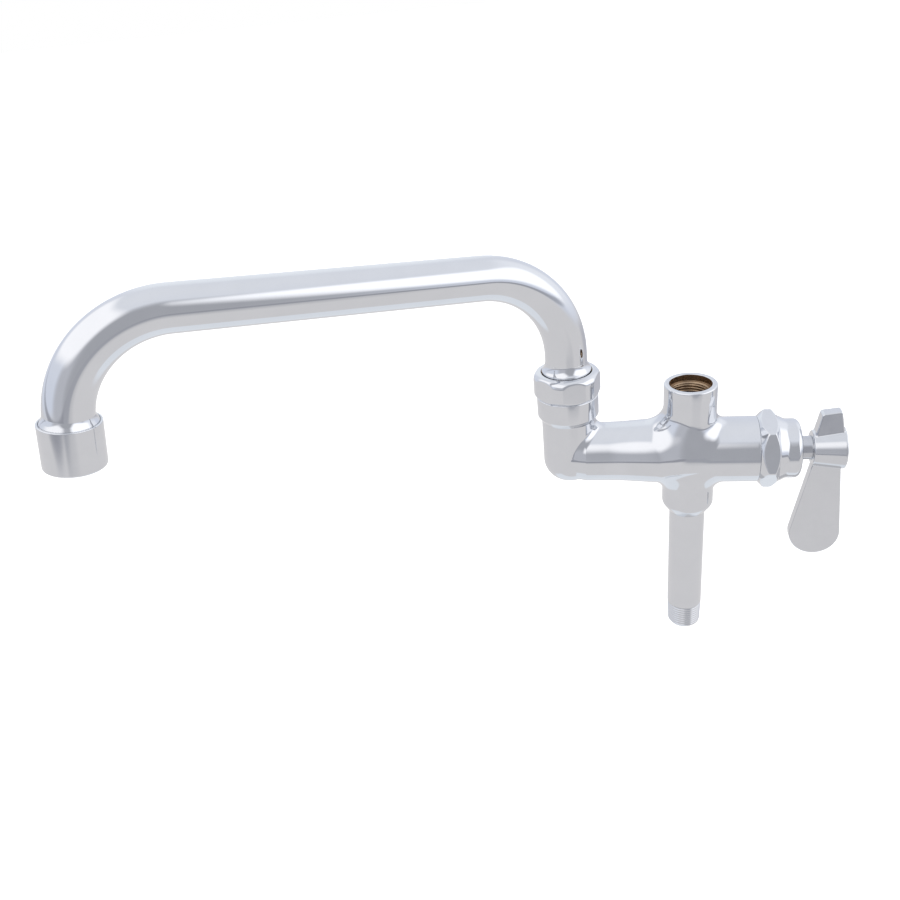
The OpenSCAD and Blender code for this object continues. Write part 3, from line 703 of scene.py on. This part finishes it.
spout = {
    "radius": 9.8, "bore": 8.6,
    "rise": 8, "bendUp": 45,            # straight above the nut, radius of the bend after it
    "slope": 7, "run": 129,             # degrees, and length of the long straight
    "bendDown": 42.5, "tail": 5.8,      # radius of the far bend, straight inside the outlet
    "lean": 9.2, "swing": 30,           # degrees: outlet off the plumb line, spout off the arm's line
}
tubeFoot = high("swivel_nut", 2) + 0.2      # the tube stands just above the nut
tubeFit = spout["radius"] + 0.02            # inside radius of what is sleeved on the tube
spoutTurn = Matrix.Rotation(math.radians(180 + spout["swing"]), 4, "Z")
spoutPlace = Matrix.Translation((swivelX, 0, tubeFoot)) @ spoutTurn


def bentSkin(bm, radius):
    # one skin of the tube: a ring drawn along the straights and round the bends
    size = spout
    first = bmesh.ops.create_circle(bm, cap_ends=False, segments=128, radius=radius)["verts"]
    ring = list({edge for vert in first for edge in vert.link_edges})
    rise = math.radians(size["slope"])
    lean = math.radians(size["lean"])
    runWay = Vector((math.cos(rise), 0, math.sin(rise)))

    def draw(ring, way, pieces):
        for _ in range(pieces):
            new = bmesh.ops.extrude_edge_only(bm, edges=ring)["geom"]
            bmesh.ops.translate(bm, verts=[item for item in new if isinstance(item, bmesh.types.BMVert)],
                                vec=way / pieces)
            ring = [item for item in new if isinstance(item, bmesh.types.BMEdge) and item.is_boundary]
        return ring

    def bend(ring, centre, angle, steps):
        geom = list({vert for edge in ring for vert in edge.verts}) + ring
        swept = bmesh.ops.spin(bm, geom=geom, cent=centre, axis=(0, 1, 0), angle=angle, steps=steps)
        return [item for item in swept["geom_last"] if isinstance(item, bmesh.types.BMEdge)]

    ring = draw(ring, Vector((0, 0, size["rise"])), 3)
    centre = Vector((size["bendUp"], 0, size["rise"]))
    ring = bend(ring, centre, math.radians(90) - rise, 40)
    ring = draw(ring, runWay * size["run"], 24)
    runEnd = centre + size["bendUp"] * Vector((-math.sin(rise), 0, math.cos(rise))) + runWay * size["run"]
    centre = runEnd + size["bendDown"] * Vector((math.sin(rise), 0, -math.cos(rise)))
    ring = bend(ring, centre, math.radians(90) + rise - lean, 40)
    outlet = centre + size["bendDown"] * Vector((math.cos(lean), 0, math.sin(lean)))
    draw(ring, Vector((math.sin(lean), 0, -math.cos(lean))) * size["tail"], 2)
    return outlet


def makeTube():
    bm = bmesh.new()
    outlet = bentSkin(bm, spout["radius"])
    bmesh.ops.recalc_face_normals(bm, faces=bm.faces)
    bmesh.ops.solidify(bm, geom=bm.verts[:] + bm.edges[:] + bm.faces[:],
                       thickness=spout["radius"] - spout["bore"])
    bmesh.ops.recalc_face_normals(bm, faces=bm.faces)
    bm.transform(spoutPlace)
    finishPiece("bent_tube", bm, [tubeChrome], "spout", ["spout_tube"], False)
    return outlet


outlet = makeTube()
outletTurn = Matrix.Rotation(math.radians(180 - spout["lean"]), 4, "Y")
outletPlace = spoutPlace @ Matrix.Translation(outlet) @ outletTurn


ferrule = {
    "stem": 9.9, "shoulder": 11.6, "bore": 7,
    "bead": 0.75,               # height of the bead above the nut
    "cove": (2.6, 5.6),         # height of the cove's corner above the nut, and its radius
    "flare": 5.0,
}


def makeFerrule():
    size = ferrule
    bottom, ledge = low("spout_ferrule", 2), high("swivel_nut", 2)
    shoulder = high("wear_washer", 2) + clearance
    flareTop = ledge + size["flare"]
    cove, coveRadius = size["cove"]
    bm = turned([
        (size["bore"], bottom, 0), (size["stem"], bottom, 0.3), (size["stem"], shoulder, 0),
        (size["shoulder"], shoulder, 0.2), (size["shoulder"], ledge + size["bead"], 0.55),
        (tubeFit + 0.01, ledge + cove, coveRadius), (tubeFit + 0.01, flareTop, 0), (tubeFit, flareTop, 0),
        (tubeFit, tubeFoot, 0), (size["bore"], tubeFoot, 0), (size["bore"], bottom, 0)])
    bm.transform(atSwivel)
    finishPiece("tube_ferrule", bm, [turnedChrome], "spout", ["spout_ferrule"])


aerator = {
    "radius": 12.3, "length": 18.8, "wall": 1.0, "lip": 1.8,
    "flare": 2.2, "cove": 6,    # height of the sleeve's flare above the shell, radius of its cove
    "thinEdge": (2.6, 0.35),    # above the flare and below the tube's skin, where the bend hides it
    "seat": 7,                  # where the sleeve's inside narrows to the tube's bore
}


def makeOutlet():
    size = aerator
    inner = size["radius"] - size["wall"]
    tube, sleeve, bore = tubeFit, inner - 0.1, spout["bore"]
    edge, depth = size["thinEdge"]
    top = -size["flare"] - edge
    bm = turned([
        (tube, -1, 0), (tube - depth, top, 0), (tube + 0.12, -size["flare"], size["cove"]), (sleeve, 0, 0.3),
        (sleeve, size["seat"], 0.2), (bore, size["seat"], 0.2), (bore, spout["tail"], 0),
        (tube, spout["tail"], 0), (tube, -1, 0)])
    bm.transform(outletPlace)
    finishPiece("outlet_sleeve", bm, [turnedChrome], "spout", ["outlet_adapter"])
    radius, length, mouth = size["radius"], size["length"], inner - size["lip"]
    bm = turned([
        (inner, 0, 0), (radius, 0, 0.35), (radius, length, 0.9), (mouth, length, 0.3),
        (mouth, length - size["wall"], 0), (inner, length - size["wall"], 0.2), (inner, 0, 0)])
    bm.transform(outletPlace)
    finishPiece("aerator_housing", bm, [turnedChrome], "spout", ["aerator_shell"])


makeFerrule()
makeOutlet()
print("spout made")


# valve stem and lever

lever = {
    "hub": (8.2, 10.3), "hubRound": (0.5, 0.9),     # radii and edges, valve side and outer side
    "bladeAxis": ((63.9, 0), (61.1, -47.0)),        # root and end of the blade's middle line, x and z
    "bladeRadii": (5.2, 11.8),
    "bladeHalf": 2.9, "bladeEdge": 0.9, "bladeRoot": 0.6,
    "wingSides": ((56.9, 7, 59.1, 18.7), (67.8, 19.8, 70, 7)),      # valve side up, outer side down
    "wingHalf": (3.6, 2.9), "wingFace": (8, 19),    # half thickness at the hub and the top, their heights
    "wingEdge": 0.7, "wingCorner": 1.0, "wingRoot": 0.6,
    "recess": (5.9, 1.0),                           # round the stem
    "stemBore": 4.55, "screwWay": 2.1, "screwHead": 3.9,
    "screwShank": 8, "web": 2,                      # the web is what the screw clamps
    "pocket": 7.15,                                 # for the button
    "stemReach": 8.95, "buttonProud": 0.4,          # stem into the hub, button out of it
    "voxel": 0.4,
}
hubStart = high("valve_stem", 0) - lever["stemReach"]
hubEnd = high("index_button", 0) - lever["buttonProud"]


def bladeOutline(x, z):
    # hull of two circles
    (topX, topZ), (endX, endZ) = lever["bladeAxis"]
    topRadius, endRadius = lever["bladeRadii"]
    length = math.hypot(endX - topX, endZ - topZ)
    wayX, wayZ = (topX - endX) / length, (topZ - endZ) / length
    along = (x - endX) * wayX + (z - endZ) * wayZ
    across = np.abs((x - endX) * wayZ - (z - endZ) * wayX)
    lean = (endRadius - topRadius) / length
    face = math.sqrt(1 - lean * lean)
    mark = across * -lean + along * face
    return np.where(mark < 0, np.hypot(across, along) - endRadius,
                    np.where(mark > face * length, np.hypot(across, along - length) - topRadius,
                             across * face + along * lean - endRadius))


def halfPlane(x, z, startX, startZ, endX, endZ):
    # distance to the left of the way from start to end
    length = math.hypot(endX - startX, endZ - startZ)
    return ((z - startZ) * (endX - startX) - (x - startX) * (endZ - startZ)) / length


def leverForm(points):
    x, y, z = points.T
    size = lever
    share = (x - hubStart) / (hubEnd - hubStart)
    hub = np.hypot(y, z) - size["hub"][0] - (size["hub"][1] - size["hub"][0]) * share
    hub = roundMeet(roundMeet(hub, hubStart - x, size["hubRound"][0]), x - hubEnd, size["hubRound"][1])
    blade = roundMeet(bladeOutline(x, z), np.abs(y) - size["bladeHalf"], size["bladeEdge"])
    inner, outer = size["wingSides"]
    sides = np.maximum(halfPlane(x, z, *inner), halfPlane(x, z, *outer))
    top = halfPlane(x, z, *inner[2:], *outer[:2])
    (thick, thin), (faceLow, faceTop) = size["wingHalf"], size["wingFace"]
    face = np.abs(y) - thick + (thick - thin) * (z - faceLow) / (faceTop - faceLow)
    wing = roundMeet(roundMeet(sides, top, size["wingCorner"]), face, size["wingEdge"])
    wing = np.maximum(wing, -z)
    return roundJoin(roundJoin(hub, blade, size["bladeRoot"]), wing, size["wingRoot"])


def hullOf(points):
    bm = bmesh.new()
    bmesh.ops.convex_hull(bm, input=[bm.verts.new(point) for point in points])
    return bm


def makeLever():
    size = lever
    alongX = Matrix.Rotation(math.radians(90), 4, "Y")
    solids = bmesh.new()
    roughBar(solids, size["hub"][0], hubStart, hubEnd, alongX, size["hub"][1])
    corners = []
    for (x, z), radius in zip(size["bladeAxis"], size["bladeRadii"]):
        for step in range(48):
            turn = math.tau * step / 48
            corners += [(x + radius * math.cos(turn), side * size["bladeHalf"], z + radius * math.sin(turn))
                        for side in (-1, 1)]
    addTo(solids, hullOf(corners))
    (x1, z1, x2, z2), (x3, z3, x4, z4) = size["wingSides"]
    addTo(solids, hullOf([(x, side * size["wingHalf"][0], z) for side in (-1, 1)
                          for x, z in ((x1, z1), (x2, z2), (x3, z3), (x4, z4), (x1, 0), (x4, 0))]))
    bm = skinForm(leverForm, solids, size["voxel"])

    # bore for the stem, seat of the screw and pocket for the button
    screwSeat = low("handle_screw", 0) + size["screwShank"]
    buttonSeat = low("index_button", 0)
    (recess, depth), pocket = size["recess"], size["pocket"]
    bore, screwWay, screwHead = size["stemBore"], size["screwWay"], size["screwHead"]
    cutter = turned([
        (0, hubStart - 1, 0), (recess, hubStart - 1, 0), (recess, hubStart + 0.1, 0),
        (recess, hubStart + depth, 0), (bore, hubStart + depth, 0), (bore, screwSeat - size["web"], 0),
        (screwWay, screwSeat - size["web"], 0), (screwWay, screwSeat, 0), (screwHead, screwSeat, 0),
        (screwHead, buttonSeat, 0), (pocket, buttonSeat, 0), (pocket, hubEnd - 0.1, 0),
        (pocket, hubEnd + 1, 0), (0, hubEnd + 1, 0)])
    cutter.transform(alongX)
    bm = boredOut(bm, cutter)
    layer = bm.verts.layers.int.new("onForm")
    offsets = leverForm(np.array([vert.co for vert in bm.verts]))
    for vert, offset in zip(bm.verts, offsets):
        vert[layer] = abs(offset) < 0.005
    bmesh.ops.recalc_face_normals(bm, faces=bm.faces)
    bm.transform(onValve)
    piece = finishPiece("lever", bm, [leverChrome], "lever", ["lever_handle"], False)
    normalsFromForm(piece.data, lambda points: leverForm(points - np.array((0, 0, valveZ))))


makeLever()
print("lever made")

plainPieces = [
    (machinedBrass, "split_ring", "stem_clip", "cartridge_sleeve"),
    (bearingPlastic, "wear_washer", "thrust_washer"),
    (nitrileRubber, "swivel_seals", "aerator_washer", "stem_seals", "seat_seal"),
    (pressedFibre, "cartridge_gasket"),
    (lappedCeramic, "moving_disc", "fixed_disc"),
    (turnedSteel, "aerator_screen", "valve_stem", "handle_screw"),
    (mouldedAcetal, "aerator_insert"),
    (redPlastic, "index_button"),
]
for material, *nodes in plainPieces:
    for node in nodes:
        mesh = frame["nodes"][node].data
        mesh.materials.clear()
        mesh.materials.append(material)
print("inner pieces finished")


# camera

view = {
    "place": (-38.51, -390.26, 322.36),         # millimetres
    "yaw": -0.19822, "pitch": 0.49771, "roll": -0.11321,    # radians
    "focal": 897.75 / 900 * 36,                 # on a 36 mm frame
}


def makeCamera():
    lens = bpy.data.cameras.new("camera")
    lens.lens = view["focal"]
    lens.sensor_width = 36
    lens.clip_start = 0.01
    camera = bpy.data.objects.new("camera", lens)
    scene.collection.objects.link(camera)
    yaw, pitch, roll = view["yaw"], view["pitch"], view["roll"]
    forward = Vector((math.sin(yaw) * math.cos(pitch), math.cos(yaw) * math.cos(pitch), -math.sin(pitch)))
    right = Vector((math.cos(yaw), -math.sin(yaw), 0))
    above = right.cross(forward)
    across = right * math.cos(roll) + above * math.sin(roll)
    upward = above * math.cos(roll) - right * math.sin(roll)
    turn = Matrix((across, upward, -forward)).transposed().to_4x4()
    camera.matrix_world = Matrix.Translation(Vector(view["place"]) * mm) @ turn
    scene.camera = camera


makeCamera()


# studio

studio = {
    "floorHeight": -200,            # millimetres
    "floorColour": "E8E7E6",
    "floorGlow": 0.5,               # keeps the floor white to the camera
    "sky": ("E9EEFA", "F8FAFF"),    # at the horizon and overhead
    "ground": ("E8E6E6", "F6FAFF"), # in front of the object, and below and behind it
    "groundWay": (-0.3, 0.95, 0),   # way towards the ground behind
    "groundEdge": (-0.2, -0.14),    # where the ground turns, along that way
    "groundSteep": (-0.8, -0.88),   # and upwards, -1 is straight down
    "horizon": (-14, -2),           # elevations between which ground turns to sky, degrees
    "panels": [                     # degrees: azimuth from +Y towards +X, elevation, half width and height
        {"at": (180, 4), "half": (38, 20), "soft": 0.3, "colour": "CDCED4", "strength": 1},
        {"at": (157, 12), "half": (24, 31), "soft": 0.4, "colour": "B9BABF", "strength": 1},
        {"at": (180, -16), "half": (75, 2.2), "soft": 0.8, "colour": "A8A9B0", "strength": 1},
        {"at": (163, -17), "half": (12, 4.5), "soft": 0.4, "colour": "B6B7BD", "strength": 1},
        {"at": (29, -20), "half": (26, 7), "soft": 0.6, "colour": "CBCBD2", "strength": 1},
        {"at": (343, 24), "half": (14, 20), "soft": 0.6, "colour": "F6FAFF", "strength": 1.1},
        {"at": (62, 25), "half": (22, 20), "soft": 0.8, "colour": "F8FAFF", "strength": 1.15},
        {"at": (102, 25), "half": (32, 20), "soft": 0.25, "colour": "FDFDFF", "strength": 1.5},
        {"at": (240, 46), "half": (48, 21), "soft": 0.2, "colour": "FFFEFF", "strength": 1.3},
    ],
}


def panelMask(tree, way, panel):
    # 1 inside a rounded panel of the studio, seen from the object, and 0 outside it
    azimuth, tilt = (math.radians(angle) for angle in panel["at"])
    front = Vector((math.sin(azimuth) * math.cos(tilt), math.cos(azimuth) * math.cos(tilt), math.sin(tilt)))
    side = Vector((math.cos(azimuth), -math.sin(azimuth), 0))
    ahead, aside, above = (addNode(tree, "ShaderNodeVectorMath", {0: way, 1: axis}, operation="DOT_PRODUCT")
                           for axis in (front, side, side.cross(front)))
    across = addNode(tree, "ShaderNodeMath", {0: aside.outputs["Value"], 1: ahead.outputs["Value"]},
                     operation="ARCTAN2")
    upward = addNode(tree, "ShaderNodeMath", {0: above.outputs["Value"]}, operation="ARCSINE")
    spot = addNode(tree, "ShaderNodeCombineXYZ", {"X": across.outputs[0], "Y": upward.outputs[0]})
    halfWidth, halfHeight = (math.radians(angle) for angle in panel["half"])
    share = addNode(tree, "ShaderNodeVectorMath", {0: spot.outputs[0], 1: (1 / halfWidth, 1 / halfHeight, 0)},
                    operation="MULTIPLY")
    square = addNode(tree, "ShaderNodeVectorMath", {0: share.outputs[0], 1: share.outputs[0]},
                     operation="MULTIPLY")
    reach = addNode(tree, "ShaderNodeVectorMath", {0: square.outputs[0]}, operation="LENGTH")
    outside, inside = (1 + panel["soft"]) ** 2, (1 - panel["soft"]) ** 2
    return addNode(tree, "ShaderNodeMapRange", {
        "Value": reach.outputs["Value"], "From Min": outside, "From Max": inside},
        interpolation_type="SMOOTHSTEP").outputs["Result"]


def makeWorld():
    world = bpy.data.worlds.new("soft studio")
    scene.world = world
    world.use_nodes = True
    tree = world.node_tree
    way = addNode(tree, "ShaderNodeTexCoord").outputs["Generated"]
    height = addNode(tree, "ShaderNodeSeparateXYZ", {"Vector": way}).outputs["Z"]
    back = addNode(tree, "ShaderNodeVectorMath", {0: way, 1: studio["groundWay"]},
                   operation="DOT_PRODUCT").outputs["Value"]
    horizon = [math.sin(math.radians(angle)) for angle in studio["horizon"]]
    behind, steep, overLine = (
        addNode(tree, "ShaderNodeMapRange", {"Value": value, "From Min": start, "From Max": end},
                interpolation_type="SMOOTHSTEP").outputs["Result"]
        for value, (start, end) in (
            (back, studio["groundEdge"]), (height, studio["groundSteep"]), (height, horizon)))
    below = addNode(tree, "ShaderNodeMath", {0: behind, 1: steep}, operation="MULTIPLY").outputs["Value"]
    rising = addNode(tree, "ShaderNodeMapRange", {"Value": height}).outputs["Result"]
    sky, ground = (
        addNode(tree, "ShaderNodeMix", {"Factor": share, "A": hexColour(first), "B": hexColour(second)},
                data_type="RGBA").outputs["Result"]
        for share, (first, second) in ((rising, studio["sky"]), (below, studio["ground"])))

    # each layer covers the ones before it where its mask is 1; the camera sees plain white
    layers = [(overLine, sky)]
    for panel in studio["panels"]:
        colour = tuple(channel * panel["strength"] for channel in hexColour(panel["colour"])[:3]) + (1,)
        layers.append((panelMask(tree, way, panel), colour))
    layers.append((addNode(tree, "ShaderNodeLightPath").outputs["Is Camera Ray"], (1, 1, 1, 1)))
    light = ground
    for mask, colour in layers:
        light = addNode(tree, "ShaderNodeMix", {"Factor": mask, "A": light, "B": colour},
                        data_type="RGBA").outputs["Result"]
    tree.links.new(light, tree.nodes["Background"].inputs["Color"])


def makeStudio():
    bm = bmesh.new()
    bmesh.ops.create_grid(bm, x_segments=2, y_segments=2, size=12,
                          matrix=Matrix.Translation((0, 0, studio["floorHeight"] * mm)))
    mesh = bpy.data.meshes.new("floor")
    bm.to_mesh(mesh)
    bm.free()
    floor = bpy.data.objects.new("floor", mesh)
    scene.collection.objects.link(floor)
    material, tree, shader, _ = newMaterial("matt white studio floor")
    shader.inputs["Roughness"].default_value = 0.9
    shader.inputs["Base Color"].default_value = hexColour(studio["floorColour"])
    shader.inputs["Emission Color"].default_value = (1, 1, 1, 1)
    path = addNode(tree, "ShaderNodeLightPath")
    glow = addNode(tree, "ShaderNodeMath", {0: path.outputs["Is Camera Ray"], 1: studio["floorGlow"]},
                   operation="MULTIPLY")
    tree.links.new(glow.outputs["Value"], shader.inputs["Emission Strength"])
    mesh.materials.append(material)
    floor.visible_glossy = False


makeWorld()
makeStudio()
scene.view_settings.view_transform = "Standard"
print("studio made")
